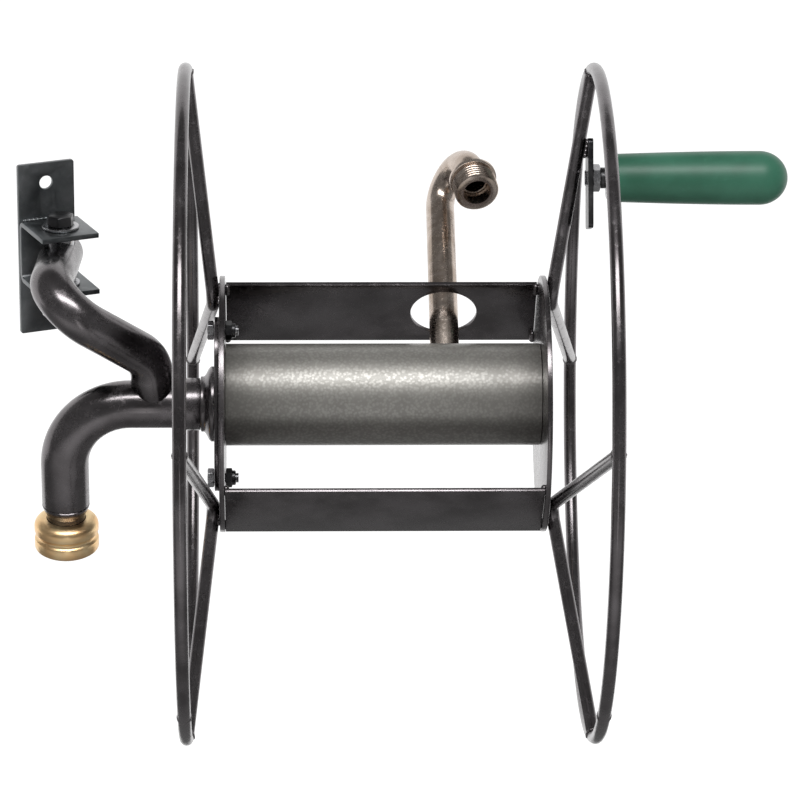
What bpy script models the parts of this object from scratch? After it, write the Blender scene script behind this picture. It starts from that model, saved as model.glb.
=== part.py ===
"""Wall-mounted swivel hose reel at real size, in metres, with +Z up.

The origin is the centre of the wall plate's back face. The wall is on the +Y side, and the reel
stands out towards -Y. The arm turns about an upright bolt in the wall bracket. The reel turns
about the inlet pipe, which is fixed in the arm and runs into the drum as its axle.

Angles round the axle are measured from the top of the reel towards its back.
"""

import math

import bmesh
import bpy
from mathutils import Matrix, Vector

MM = 0.001

# Gap between pieces that touch, are welded together, or turn in one another
GAP = 0.3 * MM

# Wall plate
PLATE_WIDTH = 35.5 * MM
PLATE_HEIGHT = 106 * MM
PLATE_THICK = 3 * MM
PLATE_HOLE_D = 8.3 * MM
PLATE_HOLE_SPACING = 81.2 * MM

# Yoke on the plate, and the upright bolt through its ears
YOKE_HEIGHT = 38.1 * MM
YOKE_THICK = 3 * MM
YOKE_DEPTH = 42 * MM  # from the plate's face to the front of the ears
PIVOT_OUT = 24 * MM  # bolt's axis from the plate's face
PIVOT_BOLT_D = 9.5 * MM
PIVOT_FLATS = 14.3 * MM
PIVOT_HEAD_HEIGHT = 6.4 * MM
PIVOT_NUT_HEIGHT = 7 * MM
PIVOT_WASHER_D = 22 * MM
PIVOT_WASHER_THICK = 1.5 * MM
PIVOT_THREAD_END = 1.8 * MM  # bolt below its nut

# Arm: a bent tube from the pivot bolt down to the inlet pipe. Its corners are measured from the
# pivot: sideways along the axle, outwards from the wall, and down.
SWING_REST = math.radians(-22.5)
ARM_TUBE_D = 25.4 * MM
ARM_TUBE_WALL = 2 * MM
ARM_TAIL = 12 * MM  # tube behind the pivot
ELBOW_SIDE = -5.5 * MM
ELBOW_OUT = 81 * MM
ELBOW_BEND = 22 * MM
KNEE_SIDE = 54 * MM
KNEE_OUT = 45 * MM
KNEE_DROP = 48 * MM
KNEE_BEND = 24 * MM
FOOT_SIDE = 55.9 * MM
FOOT_OUT = 37.5 * MM
SLEEVE_D = 16 * MM

# Inlet pipe: its level run is the axle. Lengths down the drop are from the axle's axis.
AXLE_FORWARD = 38 * MM
AXLE_BELOW = 79 * MM
PIPE_D = 28.6 * MM
PIPE_BORE_D = 22.2 * MM
FOOT_INSET = 2 * MM  # arm's foot above the axle's axis, inside the pipe's line
ELBOW_RADIUS = 40 * MM
DROP_X = 1.5 * MM  # from the pivot, along the axle
DROP_LEAN = math.radians(8)  # foot of the drop towards the wall
DROP_LENGTH = 67 * MM
COLLAR_D = 31.2 * MM
COLLAR_LENGTH = 9 * MM
COLLAR_TO_FOOT = 18.3 * MM  # collar's outer end from the foot's axis, along the axle

# Turned tail in the foot of the drop, which the coupling nut hangs on
TAIL_BORE_D = 18 * MM
TAIL_INSERT = 15 * MM
TAPER_END = 74 * MM
NECK_D = 23.4 * MM
LIP_DROP = 82 * MM
LIP_D = 26.1 * MM
LIP_THICK = 2 * MM

# Brass coupling nut, with a 3/4 inch hose thread inside
NUT_CREST_D = 38.8 * MM
NUT_GROOVE_D = 35 * MM
NUT_TOP_D = 26.4 * MM
NUT_TOP_THICK = 4.7 * MM
NUT_SHOULDER = 5 * MM
NUT_UPPER_END = 9 * MM
NUT_LOWER_START = 13 * MM
NUT_LOWER_END = 19.4 * MM
NUT_HEIGHT = 21 * MM
NUT_SOCKET_D = 26.8 * MM
NUT_EDGE = 0.8 * MM
HOSE_WASHER_THICK = 3 * MM
HOSE_WASHER_BORE_D = 16 * MM

# Reel: lengths along the axle are from the middle of the drum
REEL_REST = math.radians(20)  # top of the reel towards the back
CORE_LENGTH = 188 * MM  # between the end discs
DISC_D = 153 * MM
DISC_THICK = 3 * MM
DRUM_D = 60.8 * MM
DRUM_WALL = 1.6 * MM
HOOP_D = 406.4 * MM  # 16 inches over the rod
ROD_D = 7.94 * MM  # 5/16 inch
LEFT_HOOP_OUT = 20 * MM  # hoop's plane from the disc's outer face
RIGHT_HOOP_OUT = 28.6 * MM
SPOKE_APEX_R = 61 * MM
SPOKE_BEND = 12 * MM
SPOKE_SPREAD = math.radians(81.8)  # between the two ends of a spoke, round the hoop
SLAT_WIDTH = 54 * MM
SLAT_THICK = 2.5 * MM
UPPER_SLAT_ANGLE = math.radians(37.1)
LOWER_SLAT_ANGLE = math.radians(207.1)
SLAT_HOLE_D = 40 * MM

# Hub on the left disc
STRAP_WIDTH = 50 * MM
STRAP_THICK = 3 * MM
HUB_NUT_CLEAR = 2.2 * MM  # between the drum and a nut
STRAP_END = 8 * MM  # strap past each bolt's axis
HUB_BOLT_D = 6.2 * MM
HUB_FLATS = 10 * MM
HUB_HEAD_HEIGHT = 4 * MM
HUB_NUT_HEIGHT = 6 * MM
HUB_THREAD_END = 1.7 * MM
CUP_D = 45 * MM
CUP_MOUTH_D = 33 * MM
CUP_LENGTH = 7.9 * MM
CUP_WALL = 2.5 * MM
CUP_LIP = 2 * MM  # length of the cup's two straight ends
BUSH_D = 34.4 * MM
BUSH_FLANGE_D = 38.6 * MM
BUSH_FLANGE_THICK = 1.5 * MM
BUSH_LENGTH = 8.1 * MM  # below its flange
CIRCLIP_D = 37 * MM
CIRCLIP_THICK = 1.6 * MM
CIRCLIP_SEAT_D = 26.8 * MM
CIRCLIP_SLOT = math.radians(30)

# Sealed swivel in the drum
AXLE_END = 8 * MM
SWIVEL_D = 40 * MM
SWIVEL_START = -8 * MM
SWIVEL_END = 54 * MM
SWIVEL_CAP = 4 * MM
SPIGOT_D = 28 * MM
SPIGOT_END = 28 * MM
SPIGOT_INSERT = 20 * MM
SPIGOT_BORE_D = 15 * MM
SEAL_SPOTS = (14 * MM, 22 * MM)
SEAL_CORD_D = 2.8 * MM
SEAL_SEAT_D = 22.4 * MM
SEAL_SEAT_WIDTH = 3.4 * MM
SUPPORT_THICK = 3 * MM
SUPPORT_RIM = 2.6 * MM  # narrowest part of the support ring

# Outlet pipe, with its crook and hose end
OUTLET_X = 38 * MM
OUTLET_D = 17.5 * MM
OUTLET_BORE_D = 13.8 * MM
OUTLET_FOOT = 15.2 * MM  # lower end from the axle's axis
OUTLET_REACH = 151.4 * MM  # start of the crook from the axle's axis
CROOK_RADIUS = 18 * MM
CROOK_SWEEP = math.radians(163)
CROOK_PLANE = math.radians(60)  # from the axle's direction
CROOK_STUB = 8 * MM
FITTING_LENGTH = 16 * MM
FITTING_SOCKET = 6 * MM
FITTING_BACK_D = 29 * MM
FITTING_BACK_LENGTH = 3 * MM
THREAD_D = 26.9 * MM
THREAD_ROOT_D = 25 * MM
THREAD_PITCH = 2.2 * MM
FITTING_BORE_D = 17 * MM

# Crank handle
TAB_TO_HOOP = 45.2 * MM  # tab's top from the hoop's outer side
TAB_LENGTH = 53.5 * MM
HANDLE_TO_TAB = 23.2 * MM  # bolt's axis from the tab's top
TAB_WIDTH = 26 * MM
TAB_THICK = 3 * MM
HANDLE_BOLT_D = 9.5 * MM
HANDLE_THREAD_END = 1.5 * MM
HANDLE_FLATS = 14.3 * MM
HANDLE_NUT_HEIGHT = 4.5 * MM
SPACER_D = 12.6 * MM
SPACER_LENGTH = 3.1 * MM
HANDLE_WASHER_D = 25 * MM
HANDLE_WASHER_THICK = 2.5 * MM
GRIP_LENGTH = 106 * MM
GRIP_ROOT_D = 28.7 * MM
GRIP_SWELL_D = 32.3 * MM
GRIP_SWELL_AT = 0.84  # share of the length where the grip is widest
GRIP_END_WALL = 7 * MM
GRIP_BORE_D = 15 * MM
GRIP_BUSH_LENGTH = 88 * MM
GRIP_BUSH_WALL = 2.1 * MM
CLIP_THICK = 1.5 * MM
CLIP_WALL = 2 * MM
BOLT_PAST_CLIP = 4.5 * MM

# Lock nuts, as shares of their own height or width across the flats
LOCK_HEX_SHARE = 0.65
LOCK_COLLAR_SHARE = 0.88
LOCK_ROUNDING_SHARE = 0.12

# Facets round a circle, and along a bend or a curved profile
FINE = 32
MEDIUM = 20
COARSE = 12
ROD_SIDES = 8
PIPE_SIDES = 16
HOOP_STEPS = 66
ARM_BEND_STEPS = 5
ELBOW_STEPS = 8
NUT_SHOULDER_STEPS = 3
SPOKE_BEND_STEPS = 4
CROOK_STEPS = 10
DOME_STEPS = 6
FLARE_STEPS = 5
SHARP_EDGE = math.radians(35)

# Worked out from the sizes above
rod_r = ROD_D / 2
hoop_r = HOOP_D / 2 - rod_r
slat_r = math.sqrt((DISC_D / 2) ** 2 - (SLAT_WIDTH / 2) ** 2)
pivot_y = -(PLATE_THICK + PIVOT_OUT)
inner_face = CORE_LENGTH / 2
outer_face = inner_face + DISC_THICK
strap_face = -(outer_face + GAP + STRAP_THICK)
cup_foot = strap_face - GAP
cup_end = cup_foot - CUP_LENGTH
circlip_x = cup_foot + BUSH_LENGTH + 2 * GAP
tab_top_r = HOOP_D / 2 - TAB_TO_HOOP
tab_bottom_r = tab_top_r - TAB_LENGTH
handle_r = tab_top_r - HANDLE_TO_TAB
running_d = PIPE_D + 2 * GAP
bush_hole_d = BUSH_D + 2 * GAP
support_r = DRUM_D / 2 - DRUM_WALL - GAP
drum_raise = support_r - SUPPORT_RIM - GAP - SWIVEL_D / 2  # drum's axis above the axle's
hub_bolt_r = drum_raise + DRUM_D / 2 + HUB_FLATS / math.sqrt(3) + HUB_NUT_CLEAR
reel_mid = FOOT_SIDE + COLLAR_TO_FOOT + COLLAR_LENGTH + GAP - cup_end
insert_d = PIPE_BORE_D - 2 * GAP
axle = Vector((0, -AXLE_FORWARD, -AXLE_BELOW))
reel_middle = Vector((reel_mid, 0, 0)) + axle
drop = Vector((0, math.sin(DROP_LEAN), -math.cos(DROP_LEAN)))
drop_top = Vector((DROP_X, 0, 0)) + axle
arm_back = Vector((0, ARM_TAIL, 0))
arm_elbow = Vector((ELBOW_SIDE, -ELBOW_OUT, 0))
arm_knee = Vector((KNEE_SIDE, -KNEE_OUT, -KNEE_DROP))
arm_foot = Vector((FOOT_SIDE, -FOOT_OUT, FOOT_INSET - AXLE_BELOW))

# Turns that take a piece's own Z along the axle, to the right or to the left
UPRIGHT = (0, 0, 0)
TO_RIGHT = (math.pi / 2, 0, math.pi / 2)
TO_LEFT = (math.pi / 2, 0, -math.pi / 2)


def clear_scene():
    for old in list(bpy.data.objects):
        bpy.data.objects.remove(old, do_unlink=True)


def collection(name):
    made = bpy.data.collections.new(name)
    bpy.context.scene.collection.children.link(made)
    return made


def finish(name, colour, roughness, metallic):
    made = bpy.data.materials.new(name)
    made.use_nodes = True
    shader = made.node_tree.nodes["Principled BSDF"]
    shader.inputs["Base Color"].default_value = (*colour, 1)
    shader.inputs["Roughness"].default_value = roughness
    shader.inputs["Metallic"].default_value = metallic
    return made


clear_scene()
parts = collection("hose_reel")
cutters = collection("cutters")

gunmetal = finish("gloss_gunmetal", (0.05, 0.048, 0.052), 0.25, 0.8)
bracket_steel = finish("dark_bracket_steel", (0.03, 0.035, 0.038), 0.35, 0.7)
hammertone = finish("hammertone_grey", (0.2, 0.19, 0.17), 0.35, 0.8)
nickel = finish("polished_nickel", (0.45, 0.4, 0.37), 0.15, 1)
brass = finish("brass", (0.6, 0.38, 0.16), 0.25, 1)
zinc = finish("zinc_plated_steel", (0.45, 0.45, 0.46), 0.3, 1)
black_steel = finish("black_steel", (0.015, 0.015, 0.017), 0.4, 0.7)
green = finish("green_grip", (0.03, 0.16, 0.06), 0.35, 0)
rubber = finish("black_rubber", (0.012, 0.012, 0.012), 0.8, 0)
nylon = finish("white_nylon", (0.7, 0.7, 0.66), 0.5, 0)


def place(name, data, parent=None, spot=(0, 0, 0), turn=UPRIGHT, look=None):
    """A new part, or a cutter where look is None."""
    made = bpy.data.objects.new(name, data)
    made.location = spot
    made.rotation_euler = turn
    made.parent = parent
    if look:
        made.data.materials.append(look)
        parts.objects.link(made)
    else:
        made.hide_render = True
        made.display_type = "WIRE"
        cutters.objects.link(made)
    return made


def empty(name, parent, spot, turn=UPRIGHT):
    made = bpy.data.objects.new(name, None)
    made.location = spot
    made.rotation_euler = turn
    made.parent = parent
    parts.objects.link(made)
    return made


def as_mesh(curve_object):
    """Makes a curve object into a mesh object of the same name, with its end caps welded on."""
    bpy.context.view_layer.update()
    graph = bpy.context.evaluated_depsgraph_get()
    mesh = bpy.data.meshes.new_from_object(curve_object.evaluated_get(graph))
    shape = bmesh.new()
    shape.from_mesh(mesh)
    bmesh.ops.remove_doubles(shape, verts=shape.verts, dist=0.00001)
    shape.to_mesh(mesh)
    shape.free()
    made = bpy.data.objects.new("mesh", mesh)
    for home in curve_object.users_collection:
        home.objects.link(made)
    made.hide_render = curve_object.hide_render
    made.display_type = curve_object.display_type
    made.parent = curve_object.parent
    made.matrix_world = curve_object.matrix_world.copy()
    name = curve_object.name
    bpy.data.objects.remove(curve_object, do_unlink=True)
    made.name = name
    return made


def boolean(body, tool, operation="DIFFERENCE"):
    step = body.modifiers.new(tool.name, "BOOLEAN")
    step.operation = operation
    step.object = tool


def circle(radius, count, centre=(0, 0)):
    x, y = centre
    turns = [2 * math.pi * i / count for i in range(count)]
    return [(x + radius * math.cos(a), y + radius * math.sin(a)) for a in turns]


def hexagon(flats):
    return circle(flats / math.sqrt(3), 6)


def rectangle(width, height):
    x, y = width / 2, height / 2
    return [(-x, -y), (x, -y), (x, y), (-x, y)]


def stadium(width, length, count):
    """An upright strip with round ends."""
    rise = (length - width) / 2
    turns = [2 * math.pi * i / count for i in range(count // 2 + 1)]
    top = [(width / 2 * math.cos(a), rise + width / 2 * math.sin(a)) for a in turns]
    return top + [(-x, -y) for x, y in top]


def split_ring(outer_d, inner_d, slot, count):
    """A flat ring with a slot at its foot."""
    turns = [slot / 2 + (2 * math.pi - slot) * i / count for i in range(count + 1)]
    outer = [(outer_d / 2 * math.sin(a), -outer_d / 2 * math.cos(a)) for a in turns]
    inner = [(inner_d / 2 * math.sin(a), -inner_d / 2 * math.cos(a)) for a in reversed(turns)]
    return outer + inner


def flat(name, outlines, thickness, parent, spot, turn, look):
    """A flat piece: its outline and then its holes, with its thickness centred on the spot."""
    curve = bpy.data.curves.new(name, "CURVE")
    curve.dimensions = "2D"
    curve.fill_mode = "BOTH"
    curve.extrude = thickness / 2
    for outline in outlines:
        spline = curve.splines.new("POLY")
        spline.points.add(len(outline) - 1)
        spline.use_cyclic_u = True
        for point, (x, y) in zip(spline.points, outline):
            point.co = (x, y, 0, 1)
    return place(name, curve, parent, spot, turn, look)


def turned(name, profile, closed, steps, parent, spot, turn, look):
    """A profile of (radius, height) points turned about its own Z. It runs down its outer side."""
    mesh = bpy.data.meshes.new(name)
    edges = [(i, i + 1) for i in range(len(profile) - 1)]
    if closed:
        edges.append((len(profile) - 1, 0))
    mesh.from_pydata([(radius, 0, height) for radius, height in profile], edges, [])
    made = place(name, mesh, parent, spot, turn, look)
    screw = made.modifiers.new("turn", "SCREW")
    screw.axis = "Z"
    screw.angle = 2 * math.pi
    screw.steps = steps
    screw.render_steps = steps
    screw.use_merge_vertices = True
    screw.merge_threshold = 0.00001
    return made


def ring(name, outer_d, inner_d, low, high, steps, parent, spot, turn, look):
    profile = [(outer_d / 2, high), (outer_d / 2, low), (inner_d / 2, low), (inner_d / 2, high)]
    return turned(name, profile, True, steps, parent, spot, turn, look)


def primitive_mesh():
    """Takes the mesh of a primitive that was just added."""
    made = bpy.context.object
    mesh = made.data
    bpy.data.objects.remove(made, do_unlink=True)
    return mesh


def cylinder(name, diameter, low, high, sides, parent, spot, turn, look=None):
    bpy.ops.mesh.primitive_cylinder_add(vertices=sides, radius=diameter / 2, depth=high - low)
    mesh = primitive_mesh()
    mesh.transform(Matrix.Translation((0, 0, (low + high) / 2)))
    return place(name, mesh, parent, spot, turn, look)


def torus(name, middle_d, cord_d, steps, sides, parent, spot, look):
    """A round cord bent to a ring about the axle."""
    bpy.ops.mesh.primitive_torus_add(
        major_radius=middle_d / 2, minor_radius=cord_d / 2, major_segments=steps, minor_segments=sides
    )
    return place(name, primitive_mesh(), parent, spot, TO_RIGHT, look)


def bar(name, line, diameter, sides, parent, look):
    """A round bar along a line of points, with filled ends."""
    curve = bpy.data.curves.new(name, "CURVE")
    curve.dimensions = "3D"
    curve.bevel_depth = diameter / 2
    curve.bevel_resolution = sides // 2 - 2
    curve.use_fill_caps = True
    curve.render_resolution_u = 0
    spline = curve.splines.new("POLY")
    spline.points.add(len(line) - 1)
    for point, spot in zip(spline.points, line):
        point.co = (*spot, 1)
    return place(name, curve, parent, look=look)


def tube(name, line, diameter, bore_d, sides, parent, look):
    """A bar with a second bar cut out of its middle, run past both of its ends."""
    first = line[0] + (line[0] - line[1]).normalized() * diameter
    last = line[-1] + (line[-1] - line[-2]).normalized() * diameter
    body = as_mesh(bar(name, line, diameter, sides, parent, look))
    bore = bar(f"{name}_bore", [first, *line[1:-1], last], bore_d, sides, parent, None)
    boolean(body, as_mesh(bore))
    return body


def filleted(corners, radii, steps):
    """The corner points, with the inner ones rounded to arcs."""
    points = [corners[0]]
    for before, corner, after, radius in zip(corners, corners[1:], corners[2:], radii):
        back = (before - corner).normalized()
        ahead = (after - corner).normalized()
        half = back.angle(ahead) / 2
        centre = corner + (back + ahead).normalized() * (radius / math.sin(half))
        start = (corner + back * (radius / math.tan(half)) - centre).normalized()
        end = (corner + ahead * (radius / math.tan(half)) - centre).normalized()
        side = (end - start * end.dot(start)).normalized()
        sweep = math.pi - 2 * half
        for i in range(steps + 1):
            angle = sweep * i / steps
            points.append(centre + radius * (start * math.cos(angle) + side * math.sin(angle)))
    return points + [corners[-1]]


def raised(spot, turn, height):
    """A spot moved along the piece's own Z."""
    from_piece = Matrix.Rotation(turn[2], 3, "Z") @ Matrix.Rotation(turn[0], 3, "X")
    return Vector(spot) + from_piece @ Vector((0, 0, height))


def bolt(name, diameter, flats, head, reach, parent, spot, turn, look):
    """A hex bolt. Its head stands on its own XY plane, and its shank runs down from there."""
    body = cylinder(name, diameter, -reach, head / 2, COARSE, parent, spot, turn, look)
    middle = raised(spot, turn, head / 2)
    hex_head = flat(f"{name}_head", [hexagon(flats)], head, parent, middle, turn, None)
    boolean(body, as_mesh(hex_head), "UNION")
    return body


def lock_nut(name, flats, bore_d, height, parent, spot, turn, look):
    """A hex nut with a round collar for its insert. It stands on its own XY plane."""
    hex_height = height * LOCK_HEX_SHARE
    middle = raised(spot, turn, hex_height / 2)
    body = as_mesh(flat(name, [hexagon(flats)], hex_height, parent, middle, turn, look))
    collar_r = flats * LOCK_COLLAR_SHARE / 2
    rounding = height * LOCK_ROUNDING_SHARE
    low = hex_height / 2
    profile = [
        (0, height), (collar_r - rounding, height), (collar_r, height - rounding), (collar_r, low),
        (0, low),
    ]
    boolean(body, turned(f"{name}_collar", profile, False, COARSE, parent, spot, turn, None), "UNION")
    boolean(body, cylinder(f"{name}_bore", bore_d, -height, height * 2, COARSE, parent, spot, turn))
    return body


def shade():
    """Bakes the modifiers of each mesh, then shades it smooth between its sharp edges."""
    bpy.context.view_layer.update()
    graph = bpy.context.evaluated_depsgraph_get()
    pieces = [piece for piece in parts.objects if piece.type == "MESH"]
    baked = [(piece, bpy.data.meshes.new_from_object(piece.evaluated_get(graph))) for piece in pieces]
    for piece, mesh in baked:
        piece.modifiers.clear()
        piece.data = mesh
        mesh.shade_smooth()
        mesh.set_sharp_from_angle(angle=SHARP_EDGE)


def around(radius, angle, x=0):
    """A point at this distance from the axle and angle round it."""
    return Vector((x, radius * math.sin(angle), radius * math.cos(angle)))


def wall_plate():
    """A flat bar with a screw hole near each end. Its back face lies on the wall."""
    hole_z = PLATE_HOLE_SPACING / 2
    holes = [circle(PLATE_HOLE_D / 2, COARSE, (0, z)) for z in (hole_z, -hole_z)]
    outline = rectangle(PLATE_WIDTH, PLATE_HEIGHT)
    spot = (0, -PLATE_THICK / 2, 0)
    flat("wall_plate", [outline, *holes], PLATE_THICK, None, spot, (math.pi / 2, 0, 0), bracket_steel)


def yoke():
    """A strip bent to a U, welded by its back to the plate, with a hole in each ear for the bolt."""
    back = -(PLATE_THICK + GAP)
    bend = back - YOKE_THICK
    front = -(PLATE_THICK + YOKE_DEPTH)
    outer = YOKE_HEIGHT / 2
    inner = outer - YOKE_THICK
    upper = [(front, inner), (bend, inner)]
    lower = [(bend, -inner), (front, -inner)]
    outline = [*upper, *lower, (front, -outer), (back, -outer), (back, outer), (front, outer)]
    body = as_mesh(flat("pivot_yoke", [outline], PLATE_WIDTH, None, (0, 0, 0), TO_RIGHT, bracket_steel))
    spot = (0, pivot_y, 0)
    hole_d = PIVOT_BOLT_D + 2 * GAP
    boolean(body, cylinder("yoke_bore", hole_d, -YOKE_HEIGHT, YOKE_HEIGHT, COARSE, None, spot, UPRIGHT))


def pivot_fasteners():
    """The bolt from above, its lock nut below, and a washer at each face that rubs."""
    outer = YOKE_HEIGHT / 2
    inner = outer - YOKE_THICK
    seat = outer + PIVOT_WASHER_THICK + 2 * GAP
    hole_d = PIVOT_BOLT_D + 2 * GAP
    reach = 2 * seat + PIVOT_NUT_HEIGHT + PIVOT_THREAD_END
    spot = (0, pivot_y, seat)
    head = PIVOT_HEAD_HEIGHT
    bolt("pivot_bolt", PIVOT_BOLT_D, PIVOT_FLATS, head, reach, None, spot, UPRIGHT, black_steel)
    spot = (0, pivot_y, -seat)
    downwards = (math.pi, 0, 0)
    lock_nut("pivot_nut", PIVOT_FLATS, hole_d, PIVOT_NUT_HEIGHT, None, spot, downwards, black_steel)
    rise = GAP + PIVOT_WASHER_THICK / 2
    outlines = [circle(PIVOT_WASHER_D / 2, MEDIUM), circle(hole_d / 2, COARSE)]
    levels = {"top": outer + rise, "upper": inner - rise, "lower": rise - inner, "bottom": -outer - rise}
    for name, z in levels.items():
        spot = (0, pivot_y, z)
        flat(f"pivot_washer_{name}", outlines, PIVOT_WASHER_THICK, None, spot, UPRIGHT, zinc)


def swing_tube(arm):
    """A bent tube. It lies level between the ears, turns down, and is welded on the inlet pipe."""
    corners = [arm_back, arm_elbow, arm_knee, arm_foot]
    line = filleted(corners, (ELBOW_BEND, KNEE_BEND), ARM_BEND_STEPS)
    bore_d = ARM_TUBE_D - 2 * ARM_TUBE_WALL
    body = tube("arm_tube", line, ARM_TUBE_D, bore_d, PIPE_SIDES, arm, gunmetal)
    saddle = Vector((FOOT_SIDE, 0, 0)) + axle
    boolean(body, cylinder("arm_saddle", running_d, -PIPE_D, PIPE_D, FINE, arm, saddle, TO_RIGHT))
    hole_d = SLEEVE_D + 2 * GAP
    reach = ARM_TUBE_D
    boolean(body, cylinder("arm_cross_bore", hole_d, -reach, reach, COARSE, arm, (0, 0, 0), UPRIGHT))
    half = YOKE_HEIGHT / 2 - YOKE_THICK - PIVOT_WASHER_THICK - 2 * GAP
    bore_d = PIVOT_BOLT_D + 2 * GAP
    ring("arm_sleeve", SLEEVE_D, bore_d, -half, half, COARSE, arm, (0, 0, 0), UPRIGHT, zinc)


def inlet(arm):
    """The bent pipe whose level run is the axle, and the turned tail in the foot of its drop."""
    end = reel_middle + Vector((AXLE_END, 0, 0))
    line = filleted([end, drop_top, drop_top + drop * DROP_LENGTH], (ELBOW_RADIUS,), ELBOW_STEPS)
    body = tube("inlet_pipe", line, PIPE_D, PIPE_BORE_D, PIPE_SIDES, arm, gunmetal)
    low, high = circlip_x - GAP, circlip_x + CIRCLIP_THICK + GAP
    seat = ring(
        "circlip_seat", CIRCLIP_D, CIRCLIP_SEAT_D, low, high, PIPE_SIDES, arm, reel_middle, TO_RIGHT, None
    )
    boolean(body, seat)

    neck_r, lip_r = NECK_D / 2, LIP_D / 2
    top, shoulder, lip_end = TAIL_INSERT - DROP_LENGTH, -(DROP_LENGTH + GAP), -(LIP_DROP + LIP_THICK)
    profile = [
        (insert_d / 2, top), (insert_d / 2, shoulder), (PIPE_D / 2, shoulder), (neck_r, -TAPER_END),
        (neck_r, -LIP_DROP), (lip_r, -LIP_DROP), (lip_r, lip_end), (TAIL_BORE_D / 2, lip_end),
        (TAIL_BORE_D / 2, top),
    ]
    turned("inlet_tail", profile, True, MEDIUM, arm, drop_top, (DROP_LEAN, 0, 0), gunmetal)


def axle_pieces(arm):
    """What is fixed to the axle: a collar, a snap ring in its seat, the seals and their spigot."""
    high = cup_end - GAP
    low = high - COLLAR_LENGTH
    ring("axle_collar", COLLAR_D, running_d, low, high, MEDIUM, arm, reel_middle, TO_RIGHT, gunmetal)

    outline = split_ring(CIRCLIP_D, CIRCLIP_SEAT_D + 2 * GAP, CIRCLIP_SLOT, MEDIUM)
    spot = reel_middle + Vector((circlip_x + CIRCLIP_THICK / 2, 0, 0))
    flat("axle_circlip", [outline], CIRCLIP_THICK, arm, spot, TO_RIGHT, zinc)

    body_r, seat_r, bore_r = SPIGOT_D / 2, SEAL_SEAT_D / 2, SPIGOT_BORE_D / 2
    shoulder = AXLE_END + GAP
    inner_end = AXLE_END - SPIGOT_INSERT
    profile = [(body_r, SPIGOT_END)]
    for x in reversed(SEAL_SPOTS):
        high, low = x + SEAL_SEAT_WIDTH / 2, x - SEAL_SEAT_WIDTH / 2
        profile += [(body_r, high), (seat_r, high), (seat_r, low), (body_r, low)]
    profile += [
        (body_r, shoulder), (insert_d / 2, shoulder), (insert_d / 2, inner_end), (bore_r, inner_end),
        (bore_r, SPIGOT_END),
    ]
    turned("seal_spigot", profile, True, MEDIUM, arm, reel_middle, TO_RIGHT, brass)
    seal_d = SEAL_SEAT_D + SEAL_CORD_D + 2 * GAP
    for name, x in zip(("left", "right"), SEAL_SPOTS):
        spot = reel_middle + Vector((x, 0, 0))
        torus(f"seal_ring_{name}", seal_d, SEAL_CORD_D, MEDIUM, ROD_SIDES, arm, spot, rubber)


def coupling(arm):
    """The brass nut that turns on the tail's neck, and the flat rubber washer up inside it."""
    nut_top = LIP_DROP - GAP - NUT_TOP_THICK
    hinge = empty("nut_axis", arm, drop_top + drop * nut_top, (DROP_LEAN, 0, 0))
    crest_r, groove_r, socket_r = NUT_CREST_D / 2, NUT_GROOVE_D / 2, NUT_SOCKET_D / 2
    top_r = NUT_TOP_D / 2
    hole_r = NECK_D / 2 + GAP
    turns = [math.pi / 2 * i / NUT_SHOULDER_STEPS for i in range(NUT_SHOULDER_STEPS + 1)]
    shoulder = [(top_r + (crest_r - top_r) * math.sin(a), -NUT_SHOULDER * (1 - math.cos(a))) for a in turns]
    profile = [
        *shoulder, (crest_r, NUT_EDGE - NUT_UPPER_END), (groove_r + NUT_EDGE, -NUT_UPPER_END),
        (groove_r, -NUT_UPPER_END - NUT_EDGE), (groove_r, NUT_EDGE - NUT_LOWER_START),
        (groove_r + NUT_EDGE, -NUT_LOWER_START), (crest_r, -NUT_LOWER_START - NUT_EDGE),
        (crest_r, -NUT_LOWER_END), (groove_r, -NUT_HEIGHT), (socket_r, -NUT_HEIGHT),
        (socket_r, -NUT_TOP_THICK), (hole_r, -NUT_TOP_THICK), (hole_r, 0),
    ]
    turned("inlet_nut", profile, True, MEDIUM, hinge, (0, 0, 0), UPRIGHT, brass)
    top = -(NUT_TOP_THICK + LIP_THICK + 2 * GAP)
    low = top - HOSE_WASHER_THICK
    outer_d = NUT_SOCKET_D - 2 * GAP
    ring("hose_washer", outer_d, HOSE_WASHER_BORE_D, low, top, MEDIUM, hinge, (0, 0, 0), UPRIGHT, rubber)


def hoops_and_spokes(reel):
    """Each side: a rod bent to a hoop, and two rods bent to a V from the disc out to the hoop."""
    for side, way, out in (("left", -1, LEFT_HOOP_OUT), ("right", 1, RIGHT_HOOP_OUT)):
        plane = outer_face + out
        torus(f"{side}_hoop", 2 * hoop_r, ROD_D, HOOP_STEPS, ROD_SIDES, reel, (way * plane, 0, 0), gunmetal)
        for half, start in (("upper", 0), ("lower", math.pi)):
            line = [Vector((way * x, y, z)) for x, y, z in spoke_line(plane, start)]
            bar(f"{side}_{half}_spoke", line, ROD_D, ROD_SIDES, reel, gunmetal)


def spoke_line(plane, start):
    """The centre line of a right-hand spoke, with its rounded apex one gap off the disc."""
    apex_x = outer_face + rod_r + GAP
    line = spoke_from(apex_x, plane, start)
    return spoke_from(2 * apex_x - min(point.x for point in line), plane, start)


def spoke_from(corner_x, plane, start):
    apex = around(SPOKE_APEX_R, start, corner_x)
    first = spoke_end(apex, plane, start)
    last = spoke_end(apex, plane, start + SPOKE_SPREAD)
    return filleted([first, apex, last], (SPOKE_BEND,), SPOKE_BEND_STEPS)


def spoke_end(apex, plane, angle):
    """Where a spoke's centre line stops, just short of the hoop."""
    meet = around(hoop_r, angle, plane)
    along = (meet - apex).normalized()
    slant = abs(along.dot(around(1, angle + math.pi / 2)))
    return meet - along * ((rod_r * (1 + slant) + GAP) / math.sqrt(1 - slant**2))


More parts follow.
